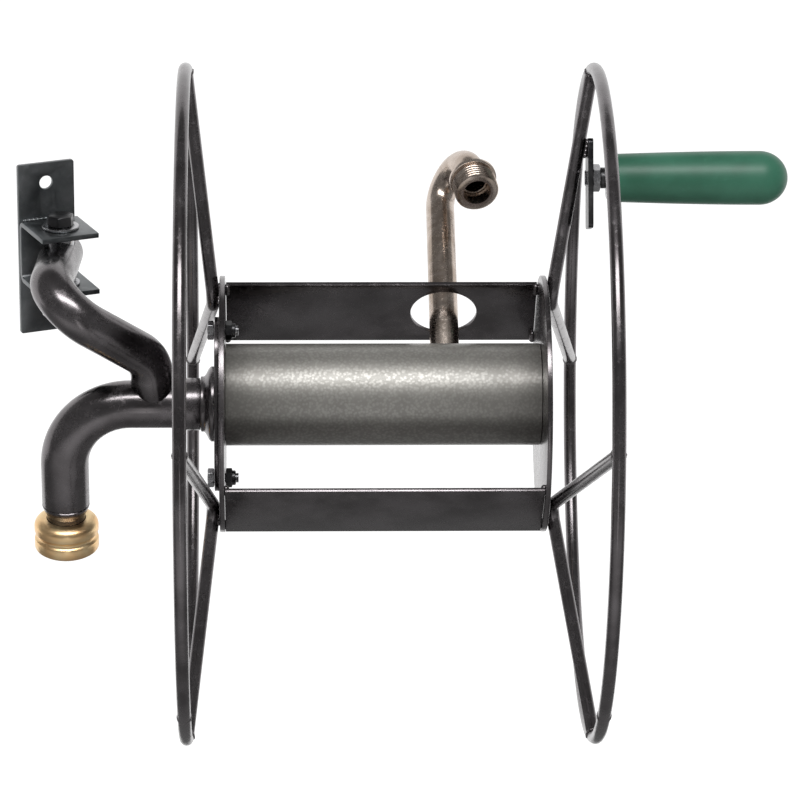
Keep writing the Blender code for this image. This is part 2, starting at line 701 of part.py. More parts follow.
def core(reel):
    """The drum between two round end plates, and two flat slats that tie the plates together."""
    disc = circle(DISC_D / 2, HOOP_STEPS)
    bolt_r = HUB_BOLT_D / 2 + GAP
    bolt_holes = [circle(bolt_r, COARSE, (0, z)) for z in (hub_bolt_r, -hub_bolt_r)]
    outlines = [disc, circle(bush_hole_d / 2, MEDIUM), *bolt_holes]
    disc_x = inner_face + DISC_THICK / 2
    flat("left_disc", outlines, DISC_THICK, reel, (-disc_x, 0, 0), TO_RIGHT, gunmetal)
    flat("right_disc", [disc], DISC_THICK, reel, (disc_x, 0, 0), TO_RIGHT, gunmetal)

    half = inner_face - GAP
    inner_d = DRUM_D - 2 * DRUM_WALL
    centre = (0, 0, drum_raise)
    drum = ring("drum", DRUM_D, inner_d, -half, half, FINE, reel, centre, TO_RIGHT, hammertone)
    hole_d = OUTLET_D + 2 * GAP
    out = (-UPPER_SLAT_ANGLE, 0, 0)
    boolean(drum, cylinder("drum_hole", hole_d, 0, DRUM_D, MEDIUM, reel, (OUTLET_X, 0, 0), out))

    middle_r = slat_r - SLAT_THICK / 2
    outline = rectangle(2 * half, SLAT_WIDTH)
    hole = circle(SLAT_HOLE_D / 2, MEDIUM, (OUTLET_X, 0))
    for name, angle, holes in (("upper", UPPER_SLAT_ANGLE, [hole]), ("lower", LOWER_SLAT_ANGLE, [])):
        spot = around(middle_r, angle)
        flat(f"{name}_slat", [outline, *holes], SLAT_THICK, reel, spot, (-angle, 0, 0), gunmetal)


def hub(reel):
    """The bearing housing: a strap and a dished cup over a flanged bush, and two bolts."""
    bolt_r = HUB_BOLT_D / 2 + GAP
    holes = [circle(bolt_r, COARSE, (0, z)) for z in (hub_bolt_r, -hub_bolt_r)]
    strap_length = 2 * (hub_bolt_r + STRAP_END)
    outlines = [stadium(STRAP_WIDTH, strap_length, MEDIUM), circle(bush_hole_d / 2, MEDIUM), *holes]
    spot = (strap_face + STRAP_THICK / 2, 0, 0)
    flat("hub_strap", outlines, STRAP_THICK, reel, spot, TO_RIGHT, black_steel)

    outer_r, mouth_r, lip_r = CUP_D / 2, CUP_MOUTH_D / 2, running_d / 2 + GAP
    inner_r = outer_r - CUP_WALL
    flange_end = cup_foot - BUSH_FLANGE_THICK
    profile = [
        (outer_r, cup_foot), (outer_r, cup_foot - CUP_LIP), (mouth_r, cup_end + CUP_LIP),
        (mouth_r, cup_end), (lip_r, cup_end), (lip_r, cup_end + CUP_LIP), (inner_r, flange_end - GAP),
        (inner_r, cup_foot),
    ]
    turned("hub_cup", profile, True, MEDIUM, reel, (0, 0, 0), TO_RIGHT, gunmetal)

    body_r, flange_r, bore_r = BUSH_D / 2, BUSH_FLANGE_D / 2, running_d / 2
    inner_end = cup_foot + BUSH_LENGTH
    profile = [
        (body_r, inner_end), (body_r, cup_foot), (flange_r, cup_foot), (flange_r, flange_end),
        (bore_r, flange_end), (bore_r, inner_end),
    ]
    turned("hub_bush", profile, True, MEDIUM, reel, (0, 0, 0), TO_RIGHT, nylon)

    head_x = strap_face - GAP
    nut_x = -inner_face + GAP
    reach = nut_x + HUB_NUT_HEIGHT + HUB_THREAD_END - head_x
    for end, z in (("upper", hub_bolt_r), ("lower", -hub_bolt_r)):
        head, foot = (head_x, 0, z), (nut_x, 0, z)
        bolt(f"hub_bolt_{end}", HUB_BOLT_D, HUB_FLATS, HUB_HEAD_HEIGHT, reach, reel, head, TO_LEFT, zinc)
        lock_nut(f"hub_nut_{end}", HUB_FLATS, 2 * bolt_r, HUB_NUT_HEIGHT, reel, foot, TO_RIGHT, black_steel)


def swivel(reel):
    """The sealed housing round the axle's end, and the plate that centres it in the drum."""
    outer_r, bore_r = SWIVEL_D / 2, running_d / 2
    floor = SWIVEL_END - SWIVEL_CAP
    profile = [
        (0, SWIVEL_END), (outer_r, SWIVEL_END), (outer_r, SWIVEL_START), (bore_r, SWIVEL_START),
        (bore_r, floor), (0, floor),
    ]
    body = turned("swivel_body", profile, False, MEDIUM, reel, (0, 0, 0), TO_RIGHT, brass)
    port_d = OUTLET_D + 2 * GAP
    out = (-UPPER_SLAT_ANGLE, 0, 0)
    boolean(body, cylinder("swivel_port", port_d, 0, SWIVEL_D, MEDIUM, reel, (OUTLET_X, 0, 0), out))

    outer = circle(support_r, FINE, (0, drum_raise))
    hole = circle(outer_r + GAP, MEDIUM)
    spot = (SUPPORT_THICK / 2, 0, 0)
    flat("support_ring", [outer, hole], SUPPORT_THICK, reel, spot, TO_RIGHT, black_steel)


def outlet(reel):
    """The plated pipe: out through the slat's hole, round a crook, to a threaded hose end."""
    out = around(1, UPPER_SLAT_ANGLE)
    right = Vector((1, 0, 0))
    inwards = right * math.cos(CROOK_PLANE) + right.cross(out) * math.sin(CROOK_PLANE)
    foot = right * OUTLET_X + out * OUTLET_FOOT
    centre = right * OUTLET_X + out * OUTLET_REACH + inwards * CROOK_RADIUS
    arc = []
    for i in range(CROOK_STEPS + 1):
        angle = CROOK_SWEEP * i / CROOK_STEPS
        arc.append(centre + CROOK_RADIUS * (out * math.sin(angle) - inwards * math.cos(angle)))
    outflow = out * math.cos(CROOK_SWEEP) + inwards * math.sin(CROOK_SWEEP)
    seat = arc[-1] + outflow * CROOK_STUB
    last = seat + outflow * (FITTING_SOCKET - GAP)
    tube("outlet_pipe", [foot, *arc, last], OUTLET_D, OUTLET_BORE_D, COARSE, reel, nickel)

    back_r, root_r, crest_r = FITTING_BACK_D / 2, THREAD_ROOT_D / 2, THREAD_D / 2
    socket_r, bore_r = OUTLET_D / 2 + GAP, FITTING_BORE_D / 2
    threads = int((FITTING_LENGTH - FITTING_BACK_LENGTH) / THREAD_PITCH)
    edge = (back_r - crest_r) / 2
    profile = [(root_r, FITTING_LENGTH)]
    for i in range(threads):
        top = FITTING_LENGTH - (i + 0.5) * THREAD_PITCH
        profile += [(crest_r, top), (root_r, top - THREAD_PITCH / 2)]
    profile += [
        (root_r, FITTING_BACK_LENGTH), (back_r - edge, FITTING_BACK_LENGTH),
        (back_r, FITTING_BACK_LENGTH - edge), (back_r, edge), (back_r - edge, 0), (socket_r, 0),
        (socket_r, FITTING_SOCKET), (bore_r, FITTING_SOCKET), (bore_r, FITTING_LENGTH),
    ]
    turn = outflow.to_track_quat("Z", "Y").to_euler()
    turned("outlet_fitting", profile, True, MEDIUM, reel, seat, turn, nickel)


def handle(reel):
    """The tab welded to the right upper spoke, the bolt locked in it, and the grip on the bolt."""
    outer_end, inner_end = spoke_line(outer_face + RIGHT_HOOP_OUT, 0)[:2]
    slope = (outer_end.x - inner_end.x) / (outer_end.z - inner_end.z)
    touch_x = outer_end.x - slope * (outer_end.z - tab_top_r) + rod_r * math.sqrt(1 + slope**2)
    tab_x = touch_x + GAP
    middle_r = (tab_top_r + tab_bottom_r) / 2
    hole_d = HANDLE_BOLT_D + 2 * GAP
    hole = circle(hole_d / 2, COARSE, (0, handle_r - middle_r))
    outlines = [rectangle(TAB_WIDTH, TAB_LENGTH), hole]
    spot = (tab_x + TAB_THICK / 2, 0, middle_r)
    flat("handle_tab", outlines, TAB_THICK, reel, spot, TO_RIGHT, black_steel)

    nut_x = tab_x + TAB_THICK + GAP
    outlines = [hexagon(HANDLE_FLATS), circle(hole_d / 2, COARSE)]
    spot = (nut_x + HANDLE_NUT_HEIGHT / 2, 0, handle_r)
    flat("handle_nut", outlines, HANDLE_NUT_HEIGHT, reel, spot, TO_RIGHT, zinc)

    foot = (0, 0, handle_r)
    low = nut_x + HANDLE_NUT_HEIGHT + GAP
    high = low + SPACER_LENGTH
    ring("handle_spacer", SPACER_D, hole_d, low, high, COARSE, reel, foot, TO_RIGHT, black_steel)
    low = high + GAP
    high = low + HANDLE_WASHER_THICK
    ring("handle_washer", HANDLE_WASHER_D, hole_d, low, high, MEDIUM, reel, foot, TO_RIGHT, zinc)

    grip_x = high + GAP
    hinge = empty("grip_axis", reel, (grip_x, 0, handle_r))
    clip_x = grip_x + 2 * GAP + GRIP_BUSH_LENGTH
    bolt_end = clip_x + CLIP_THICK + BOLT_PAST_CLIP
    low = tab_x - HANDLE_THREAD_END
    cylinder("handle_bolt", HANDLE_BOLT_D, low, bolt_end, COARSE, reel, foot, TO_RIGHT, zinc)
    clip_d = hole_d + 2 * CLIP_WALL
    ring("grip_clip", clip_d, hole_d, clip_x, clip_x + CLIP_THICK, COARSE, reel, foot, TO_RIGHT, zinc)

    root_r, swell_r, bore_r = GRIP_ROOT_D / 2, GRIP_SWELL_D / 2, GRIP_BORE_D / 2
    swell_z = GRIP_SWELL_AT * GRIP_LENGTH
    dome = GRIP_LENGTH - swell_z
    quarter = [math.pi / 2 * i / DOME_STEPS for i in range(DOME_STEPS + 1)]
    profile = [(swell_r * math.sin(a), swell_z + dome * math.cos(a)) for a in quarter]
    for i in range(1, FLARE_STEPS + 1):
        share = i / FLARE_STEPS
        radius = root_r + (swell_r - root_r) * math.cos(math.pi / 2 * share)
        profile.append((radius, swell_z * (1 - share)))
    floor = GRIP_LENGTH - GRIP_END_WALL
    profile += [(bore_r, 0), (bore_r, floor), (0, floor)]
    turned("grip", profile, False, MEDIUM, hinge, (0, 0, 0), TO_RIGHT, green)
    bush_d = hole_d + 2 * GRIP_BUSH_WALL
    low, high = GAP, GAP + GRIP_BUSH_LENGTH
    ring("grip_bush", bush_d, hole_d, low, high, COARSE, hinge, (0, 0, 0), TO_RIGHT, nylon)


wall_plate()
yoke()
pivot_fasteners()
arm_axis = empty("arm_axis", None, (0, pivot_y, 0), (0, 0, SWING_REST))
swing_tube(arm_axis)
inlet(arm_axis)
axle_pieces(arm_axis)
coupling(arm_axis)
reel_axis = empty("reel_axis", arm_axis, reel_middle, (-REEL_REST, 0, 0))
hoops_and_spokes(reel_axis)
core(reel_axis)
hub(reel_axis)
swivel(reel_axis)
outlet(reel_axis)
handle(reel_axis)
shade()
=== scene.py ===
"""Wall-mounted hose reel: a gunmetal wire reel that turns on its water pipe, carried by a swing arm.

The sections follow the reel as it is put together, from the wall outwards. Sizes are written in
millimetres, as are the (radius, height) points of a turned profile, and MM makes them metres.
"""

import math

import bpy
from mathutils import Matrix, Vector


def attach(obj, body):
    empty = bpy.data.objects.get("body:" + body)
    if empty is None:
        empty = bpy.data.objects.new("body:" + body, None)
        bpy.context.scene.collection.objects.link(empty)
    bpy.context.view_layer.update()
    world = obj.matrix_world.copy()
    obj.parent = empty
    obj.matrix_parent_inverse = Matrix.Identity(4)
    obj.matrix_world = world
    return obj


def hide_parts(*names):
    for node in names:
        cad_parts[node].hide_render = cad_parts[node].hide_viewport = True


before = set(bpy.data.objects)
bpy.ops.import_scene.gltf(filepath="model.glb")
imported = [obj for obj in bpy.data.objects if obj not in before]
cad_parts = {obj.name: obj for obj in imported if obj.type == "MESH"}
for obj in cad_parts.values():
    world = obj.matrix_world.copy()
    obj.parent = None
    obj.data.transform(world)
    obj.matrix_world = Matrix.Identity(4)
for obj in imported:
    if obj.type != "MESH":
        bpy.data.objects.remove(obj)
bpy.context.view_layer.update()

# Wall bracket. A flat bar with a screw hole near each end, and a strip bent to a U that is welded
# across its middle. Both have a thin satin coat, blue-grey and a little cloudy over the rolled steel.
MM = 0.001


class Wire:
    """One shader value. Arithmetic on it adds Math nodes, and node() adds any other kind."""

    def __init__(self, tree, socket=None):
        self.tree = tree
        self.socket = socket

    def node(self, kind, settings, values, output=0):
        """Adds a node of this kind: its settings first, then the value or link of each socket."""
        made = self.tree.nodes.new("ShaderNode" + kind)
        for name, setting in settings.items():
            setattr(made, name, setting)
        for name, value in values.items():
            if isinstance(value, Wire):
                self.tree.links.new(value.socket, made.inputs[name])
            else:
                made.inputs[name].default_value = value
        return Wire(self.tree, made.outputs[output])

    def noise(self, scale, detail=3, roughness=0.5, distortion=0):
        """Clouds at these coordinates. The scale is in clouds to the metre."""
        values = {"Vector": self, "Scale": scale, "Detail": detail, "Roughness": roughness}
        return self.node("TexNoise", {}, {**values, "Distortion": distortion})

    def stretched(self, along):
        """These coordinates, with a scale of their own on each axis."""
        return self.node("Mapping", {}, {"Vector": self, "Scale": along})

    def between(self, low, high):
        """This value, brought to 0 at low and to 1 at high."""
        settings = {"interpolation_type": "SMOOTHSTEP"}
        return self.node("MapRange", settings, {"Value": self, "From Min": low, "From Max": high})

    def blend(self, first, second):
        """The first colour where this value is 0, and the second where it is 1. A Mix node has its
        sockets for each kind of value, and these are the ones for colours."""
        return self.node("Mix", {"data_type": "RGBA"}, {0: self, 6: first, 7: second}, 2)

    def bumps(self, height, strength):
        """A normal for a surface that this value raises by up to this height."""
        return self.node("Bump", {}, {"Height": self, "Distance": height * MM, "Strength": strength})

    def __add__(self, other):
        return self.node("Math", {"operation": "ADD"}, {0: self, 1: other})

    def __sub__(self, other):
        return self.node("Math", {"operation": "SUBTRACT"}, {0: self, 1: other})

    def __rsub__(self, other):
        return self.node("Math", {"operation": "SUBTRACT"}, {0: other, 1: self})

    def __mul__(self, other):
        return self.node("Math", {"operation": "MULTIPLY"}, {0: self, 1: other})

    __radd__ = __add__
    __rmul__ = __mul__


def finish(slot, **sockets):
    """A new finish for a slot with its even values set: the material, its shader, its coordinates."""
    made = bpy.data.materials.new(f"{slot}_finish")
    made["slot"] = slot
    made.use_nodes = True
    shader = made.node_tree.nodes["Principled BSDF"]
    for socket, value in sockets.items():
        shader.inputs[socket.replace("_", " ")].default_value = value
    spot = Wire(made.node_tree).node("TexCoord", {}, {}, "Object")
    return made, shader, spot


def feed(shader, **wires):
    """Links what varies over the surface to the shader."""
    for socket, wire in wires.items():
        wire.tree.links.new(wire.socket, shader.inputs[socket.replace("_", " ")])


def coated_steel(name, dark, light, roughness, coat):
    """Rolled steel under a thin coat: clouds of colour, a fine grain and small dull rubs."""
    made, shader, spot = finish(name, Metallic=1, Coat_Weight=coat, Coat_Roughness=0.12)
    clouds = spot.noise(38, 4).between(0.3, 0.7)
    rubs = spot.noise(240, 5, 0.7).between(0.52, 0.68)
    grain = spot.noise(1400, 2)
    feed(
        shader,
        Base_Color=(clouds * 0.8 + rubs * 0.2).blend((*dark, 1), (*light, 1)),
        Roughness=clouds * 0.08 + rubs * 0.12 + roughness,
        Normal=(grain + clouds * 1.5).bumps(0.02, 0.35),
    )
    return made


bracket_coat = coated_steel(
    "dark_bracket_steel", dark=(0.105, 0.115, 0.12), light=(0.27, 0.278, 0.285), roughness=0.34, coat=0.15
)


def block(width, depth, height, centre):
    """A bar of flat stock."""
    bpy.ops.object.select_all(action="DESELECT")
    bpy.ops.mesh.primitive_cube_add(
        size=MM, location=Vector(centre) * MM, scale=(width, depth, height)
    )
    bpy.ops.object.transform_apply()
    return bpy.context.object


def pick_edges(piece, test):
    """Opens a piece in edit mode with only those edges selected that pass the test."""
    bpy.context.tool_settings.mesh_select_mode = (False, True, False)
    mesh = piece.data
    for group in (mesh.vertices, mesh.edges, mesh.polygons):
        group.foreach_set("select", [False] * len(group))
    for edge in mesh.edges:
        edge.select = test(edge)
    bpy.context.view_layer.objects.active = piece
    bpy.ops.object.mode_set(mode="EDIT")


def edges_along(piece, way):
    """A test for the edges of a piece that run this way."""
    points = piece.data.vertices
    return lambda edge: abs(
        (points[edge.vertices[0]].co - points[edge.vertices[1]].co).normalized().dot(way)
    ) > 0.99


def modify(piece, kind, **settings):
    """Adds a modifier with these settings and applies it."""
    step = piece.modifiers.new(kind, kind)
    for name, value in settings.items():
        setattr(step, name, value)
    bpy.context.view_layer.objects.active = piece
    bpy.ops.object.modifier_apply(modifier=step.name)


def combine(piece, tool, operation="DIFFERENCE"):
    """Cuts the tool out of the piece, or joins or crosses them, and takes the tool away."""
    modify(piece, "BOOLEAN", operation=operation, object=tool)
    bpy.data.objects.remove(tool, do_unlink=True)


def rod(diameter, start, end, sides=64):
    """A straight round rod from one point to another."""
    start, end = Vector(start) * MM, Vector(end) * MM
    turn = (end - start).to_track_quat("Z", "Y").to_euler()
    bpy.ops.object.select_all(action="DESELECT")
    bpy.ops.mesh.primitive_cylinder_add(
        vertices=sides, radius=diameter / 2 * MM, depth=(end - start).length,
        location=(start + end) / 2, rotation=turn,
    )
    bpy.ops.object.transform_apply()
    return bpy.context.object


def drill(piece, diameter, start, end):
    """Drills a round hole from one point to another."""
    combine(piece, rod(diameter, start, end))


SHARP = math.radians(32)


def ease(piece, width, segments=2):
    """Takes the sharpness off its edges. What turns less than that angle is smooth already."""
    modify(piece, "BEVEL", width=width * MM, segments=segments, limit_method="ANGLE", angle_limit=SHARP)


def fit(piece, name, body, look, nodes=(), place=Matrix()):
    """Sets a finished piece in its place, in its finish, on the body that carries it. It is shown
    for the plain solids that are named with it."""
    piece.name = piece.data.name = name
    piece.data.transform(place)
    bpy.ops.object.select_all(action="DESELECT")
    piece.select_set(True)
    bpy.context.view_layer.objects.active = piece
    bpy.ops.object.shade_smooth_by_angle(angle=SHARP)
    piece.data.materials.clear()
    piece.data.materials.append(look)
    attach(piece, body)
    if nodes:
        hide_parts(*nodes)


def round_corners(piece, way, radius, segments):
    """Rounds off a flat bar's corners, whose edges run this way."""
    pick_edges(piece, edges_along(piece, Vector(way)))
    bpy.ops.mesh.bevel(offset=radius * MM, segments=segments)
    bpy.ops.object.mode_set(mode="OBJECT")


BAR_W = 35.5
BAR_T = 3
PLATE_H = 106
SCREW_D = 8.3
SCREW_Z = 40.6
plate = block(BAR_W, BAR_T, PLATE_H, (0, -BAR_T / 2, 0))
round_corners(plate, (0, 1, 0), 1.5, 4)
for height in (SCREW_Z, -SCREW_Z):
    drill(plate, SCREW_D, (0, -5, height), (0, 2, height))
ease(plate, 0.35)
fit(plate, "bracket_plate", "wall_bracket", bracket_coat, ["wall_plate"])

# The yoke is drawn as the middle of its sheet: its back, then on both sides a bend and an ear.
YOKE_Y = -4.8
YOKE_REACH = 40.2
YOKE_BEND = 4
EAR_Z = 17.55
PIVOT_Y = -27
BOLT_BORE = 10.1
bpy.ops.object.select_all(action="DESELECT")
bpy.ops.mesh.primitive_plane_add(size=MM, location=(0, YOKE_Y * MM, 0), rotation=(math.pi / 2, 0, 0))
strip = bpy.context.object
strip.scale = (BAR_W, 2 * (EAR_Z - YOKE_BEND), 1)
bpy.ops.object.transform_apply()
for way in (1, -1):
    level = way * (EAR_Z - YOKE_BEND) * MM
    points = strip.data.vertices
    pick_edges(strip, lambda edge: all(abs(points[i].co.z - level) < 1e-6 for i in edge.vertices))
    centre = (0, (YOKE_Y - YOKE_BEND) * MM, level)
    bpy.ops.mesh.spin(steps=8, angle=-way * math.pi / 2, center=centre, axis=(1, 0, 0))
    run = (0, (YOKE_BEND - YOKE_REACH) * MM, 0)
    bpy.ops.mesh.extrude_region_move(TRANSFORM_OT_translate={"value": run})
    bpy.ops.object.mode_set(mode="OBJECT")
modify(strip, "SOLIDIFY", thickness=BAR_T * MM, offset=0)
drill(strip, BOLT_BORE, (0, PIVOT_Y, -25), (0, PIVOT_Y, 25))
ease(strip, 0.4)
fit(strip, "bracket_yoke", "wall_bracket", bracket_coat, ["pivot_yoke"])


def weld(name, body, look, rows, size, place=Matrix()):
    """Beads of weld: rows of overlapping drops, from one point to another, melted into one skin.
    Every other drop is a little larger, which makes the bead's ripples."""
    bpy.ops.object.select_all(action="DESELECT")
    drops = []
    for row in rows:
        for start, end in zip(row, row[1:]):
            start, end = Vector(start) * MM, Vector(end) * MM
            count = max(1, round((end - start).length / (size * MM)))
            for i in range(count + 1):
                spot = start.lerp(end, i / count)
                bpy.ops.mesh.primitive_ico_sphere_add(
                    subdivisions=2, radius=size * (0.95 + 0.1 * (i % 2)) * MM, location=spot
                )
                drops.append(bpy.context.object)
    for drop in drops:
        drop.select_set(True)
    bpy.ops.object.join()
    bead = bpy.context.object
    bpy.ops.object.transform_apply()
    modify(bead, "REMESH", mode="VOXEL", voxel_size=size / 4.5 * MM)
    fit(bead, name, body, look, (), place)


# The yoke's back is welded to the plate along its upper and lower bends.
seams = [[(-15, -3.4, z), (15, -3.4, z)] for z in (18.3, -18.3)]
weld("bracket_welds", "wall_bracket", bracket_coat, seams, 1.3)

# Pivot fasteners. A black hex bolt comes down through both ears, with a black lock nut under the
# lower one, and plain zinc washers under its head, under the nut and on both sides of the arm.
black_oxide = coated_steel(
    "black_steel", dark=(0.03, 0.03, 0.033), light=(0.13, 0.128, 0.13), roughness=0.3, coat=0.1
)


def plated(name, dark, light, roughness):
    """Bright plating: a clear metal with a faint haze and fine marks."""
    made, shader, spot = finish(name, Metallic=1)
    haze = spot.noise(90, 3).between(0.25, 0.75)
    marks = spot.noise(900, 3, 0.6).between(0.5, 0.75)
    feed(
        shader,
        Base_Color=haze.blend((*dark, 1), (*light, 1)),
        Roughness=haze * 0.08 + marks * 0.12 + roughness,
        Normal=marks.bumps(0.01, 0.3),
    )
    return made


zinc = plated("zinc_plated_steel", dark=(0.36, 0.36, 0.38), light=(0.55, 0.55, 0.56), roughness=0.2)


def close_up():
    """Merges doubles, caps open ends, turns the faces out, and leaves edit mode."""
    bpy.ops.mesh.select_all(action="SELECT")
    bpy.ops.mesh.remove_doubles(threshold=0.001 * MM)
    bpy.ops.mesh.select_all(action="SELECT")
    bpy.ops.mesh.fill_holes(sides=0)
    bpy.ops.mesh.select_all(action="SELECT")
    bpy.ops.mesh.normals_make_consistent(inside=False)
    bpy.ops.object.mode_set(mode="OBJECT")
    bpy.ops.object.transform_apply()
    return bpy.context.object


def wire_circle(radius, centre, turn, sides):
    """A circle of edges, all selected and open in edit mode, in metres."""
    bpy.ops.object.select_all(action="DESELECT")
    bpy.ops.mesh.primitive_circle_add(vertices=sides, radius=radius, location=centre, rotation=turn)
    bpy.context.tool_settings.mesh_select_mode = (False, True, False)
    bpy.ops.object.mode_set(mode="EDIT")


def turned(profile, sides=64):
    """A piece turned about Z: a circle drawn out and resized from one (radius, height) to the next.
    A profile that comes back to its first point closes on itself, as a ring does."""
    radius, height = profile[0]
    wire_circle(radius * MM, (0, 0, height * MM), (0, 0, 0), sides)
    for (before, low), (after, high) in zip(profile, profile[1:]):
        rise = (0, 0, (high - low) * MM)
        bpy.ops.mesh.extrude_region_move(TRANSFORM_OT_translate={"value": rise})
        share = after / before
        bpy.ops.transform.resize(value=(share, share, 1), center_override=(0, 0, high * MM))
    return close_up()


def washer(outer_d, inner_d, low, high, edge=0.25, sides=64):
    """A flat ring with its rims eased."""
    outer, inner = outer_d / 2, inner_d / 2
    ring = turned([(outer, low), (outer, high), (inner, high), (inner, low), (outer, low)], sides)
    ease(ring, edge)
    return ring


def hexagon(flats, low, high):
    """A hex blank with its corners chamfered at both ends, by a barrel that it is crossed with. The
    barrel runs past both ends and is turned a little, so that no faces or corners coincide."""
    corner = flats / math.sqrt(3)
    blank = rod(2 * corner, (0, 0, low), (0, 0, high), 6)
    blank.data.transform(Matrix.Rotation(math.pi / 2, 4, "Z"))
    drop = (corner - flats / 2) * 0.6
    inner = flats / 2 * 0.97
    outer = corner * 1.01
    past = 0.2
    narrow = inner - (outer - inner) / drop * past
    barrel = turned([
        (narrow, low - past), (outer, low + drop), (outer, high - drop), (narrow, high + past),
    ], 96)
    barrel.data.transform(Matrix.Rotation(math.radians(1), 4, "Z"))
    combine(blank, barrel, "INTERSECT")
    return blank


def threaded(diameter, low, high, pitch=1.4):
    """A bolt's thread between two heights, as close rings."""
    depth = pitch * 0.3
    count = int((high - low) / pitch)
    profile = [(diameter / 2 - depth, low)]
    for i in range(count):
        foot = low + (i + 0.25) * pitch
        profile += [(diameter / 2, foot), (diameter / 2 - depth, foot + pitch / 2)]
    return turned(profile + [(diameter / 2 - depth, high)], 48)


def hex_bolt(flats, head, diameter, reach, thread):
    """A hex bolt whose head stands on Z = 0. Its shank runs down to its thread."""
    bolt = hexagon(flats, 0, head)
    combine(bolt, rod(diameter, (0, 0, 0.5), (0, 0, thread - reach)), "UNION")
    combine(bolt, threaded(diameter, -reach, thread - reach + 0.1), "UNION")
    ease(bolt, 0.15, 1)
    return bolt


def lock_nut(flats, height, bore):
    """A hex nut that stands on Z = 0, with the rounded collar of its nylon insert on top."""
    hex_height = height * 0.65
    nut = hexagon(flats, 0, hex_height)
    collar = flats * 0.44
    lip = height * 0.12
    profile = [
        (collar, hex_height / 2), (collar, height - lip), (collar - lip * 0.3, height - lip * 0.3),
        (collar - lip, height), (collar - 2 * lip, height - lip * 0.4),
    ]
    combine(nut, turned(profile), "UNION")
    drill(nut, bore, (0, 0, -5), (0, 0, height + 5))
    return nut


def alike(piece, count):
    """The piece and copies of it, this many in all, each with its own mesh."""
    pieces = [piece]
    for _ in range(count - 1):
        copy = piece.copy()
        copy.data = piece.data.copy()
        bpy.context.collection.objects.link(copy)
        pieces.append(copy)
    return pieces


BOLT_FLATS = 14.3
BOLT_D = 9.5
pivot = Matrix.Translation(Vector((0, PIVOT_Y, 0)) * MM)
upside_down = Matrix.Rotation(math.pi, 4, "X")
bolt = hex_bolt(BOLT_FLATS, head=6.4, diameter=BOLT_D, reach=51.1, thread=14)
seat = Matrix.Translation((0, 0, 21.15 * MM))
fit(bolt, "bracket_bolt", "wall_bracket", black_oxide, ["pivot_bolt"], pivot @ seat)
nut = lock_nut(BOLT_FLATS, height=7, bore=BOLT_BORE)
fit(nut, "bracket_nut", "wall_bracket", black_oxide, ["pivot_nut"], pivot @ upside_down @ seat)
levels = {"top": 19.35, "upper": 14.25, "lower": -15.75, "bottom": -20.85}
rings = alike(washer(22, BOLT_BORE, 0, 1.5), len(levels))
for ring, (name, low) in zip(rings, levels.items()):
    fit(ring, f"bracket_washer_{name}", "wall_bracket", zinc, [f"pivot_washer_{name}"],
        pivot @ Matrix.Translation((0, 0, low * MM)))

# Swing arm. One bent length of 1 inch tube with a cross bush that turns on the pivot bolt. It leaves
# the wall level, turns down, and its foot is cut to sit on the water pipe, where it is welded round.
gunmetal = coated_steel(
    "gloss_gunmetal", dark=(0.125, 0.115, 0.118), light=(0.235, 0.218, 0.226), roughness=0.2, coat=0.1
)
DEGREES_A_STEP = 4


def bent(diameter, corners, bends, sides):
    """A round rod bent at its corners: a circle drawn out along each run and spun round each bend."""
    corners = [Vector(corner) * MM for corner in corners]
    heading = (corners[1] - corners[0]).normalized()
    turn = heading.to_track_quat("Z", "Y").to_euler()
    wire_circle(diameter / 2 * MM, corners[0], turn, sides)
    here = corners[0]
    for corner, after, bend in zip(corners[1:], corners[2:], bends):
        ahead = (after - corner).normalized()
        sweep = heading.angle(ahead)
        axis = heading.cross(ahead).normalized()
        start = corner - heading * bend * MM * math.tan(sweep / 2)
        if (start - here).length > 0.01 * MM:
            bpy.ops.mesh.extrude_region_move(TRANSFORM_OT_translate={"value": start - here})
        centre = start + axis.cross(heading) * bend * MM
        steps = math.ceil(math.degrees(sweep) / DEGREES_A_STEP)
        bpy.ops.mesh.spin(steps=steps, angle=-sweep, center=centre, axis=axis)
        here = corner + ahead * bend * MM * math.tan(sweep / 2)
        heading = ahead
    bpy.ops.mesh.extrude_region_move(TRANSFORM_OT_translate={"value": corners[-1] - here})
    return close_up()


def pipe(diameter, bore, corners, bends, sides=48):
    """A bent tube: a bent rod with a thinner one cut out of it, run past both ends."""
    past = 10
    first, last = Vector(corners[0]), Vector(corners[-1])
    before = first + (first - Vector(corners[1])).normalized() * past
    beyond = last + (last - Vector(corners[-2])).normalized() * past
    tube = bent(diameter, corners, bends, sides)
    combine(tube, bent(bore, [before, *corners[1:-1], beyond], bends, sides))
    return tube


def circle(radius, steps, height=0):
    """Points round a circle about Z, with the first one again at the end."""
    turns = [2 * math.pi * i / steps for i in range(steps + 1)]
    return [(radius * math.cos(turn), radius * math.sin(turn), height) for turn in turns]


ARM_D = 25.4
ROUND_PIPE_D = 29.2
FOOT_X = 55.9
AXLE = Vector((0, -38, -79))
arm_place = pivot @ Matrix.Rotation(math.radians(-22.5), 4, "Z")
corners = [(0, 12, 0), (-5.5, -81, 0), (54, -45, -48), (FOOT_X, -37.5, -77)]
arm = pipe(ARM_D, 21.4, corners, bends=(22, 24))
drill(arm, ROUND_PIPE_D, AXLE + Vector((20, 0, 0)), AXLE + Vector((90, 0, 0)))
drill(arm, 16.6, (0, 0, -30), (0, 0, 30))
ease(arm, 0.3)
fit(arm, "arm_bent_tube", "swing_arm", gunmetal, ["arm_tube"], arm_place)
bush = washer(16, BOLT_BORE, -13.95, 13.95, edge=0.4)
fit(bush, "arm_bush", "swing_arm", zinc, ["arm_sleeve"], arm_place)

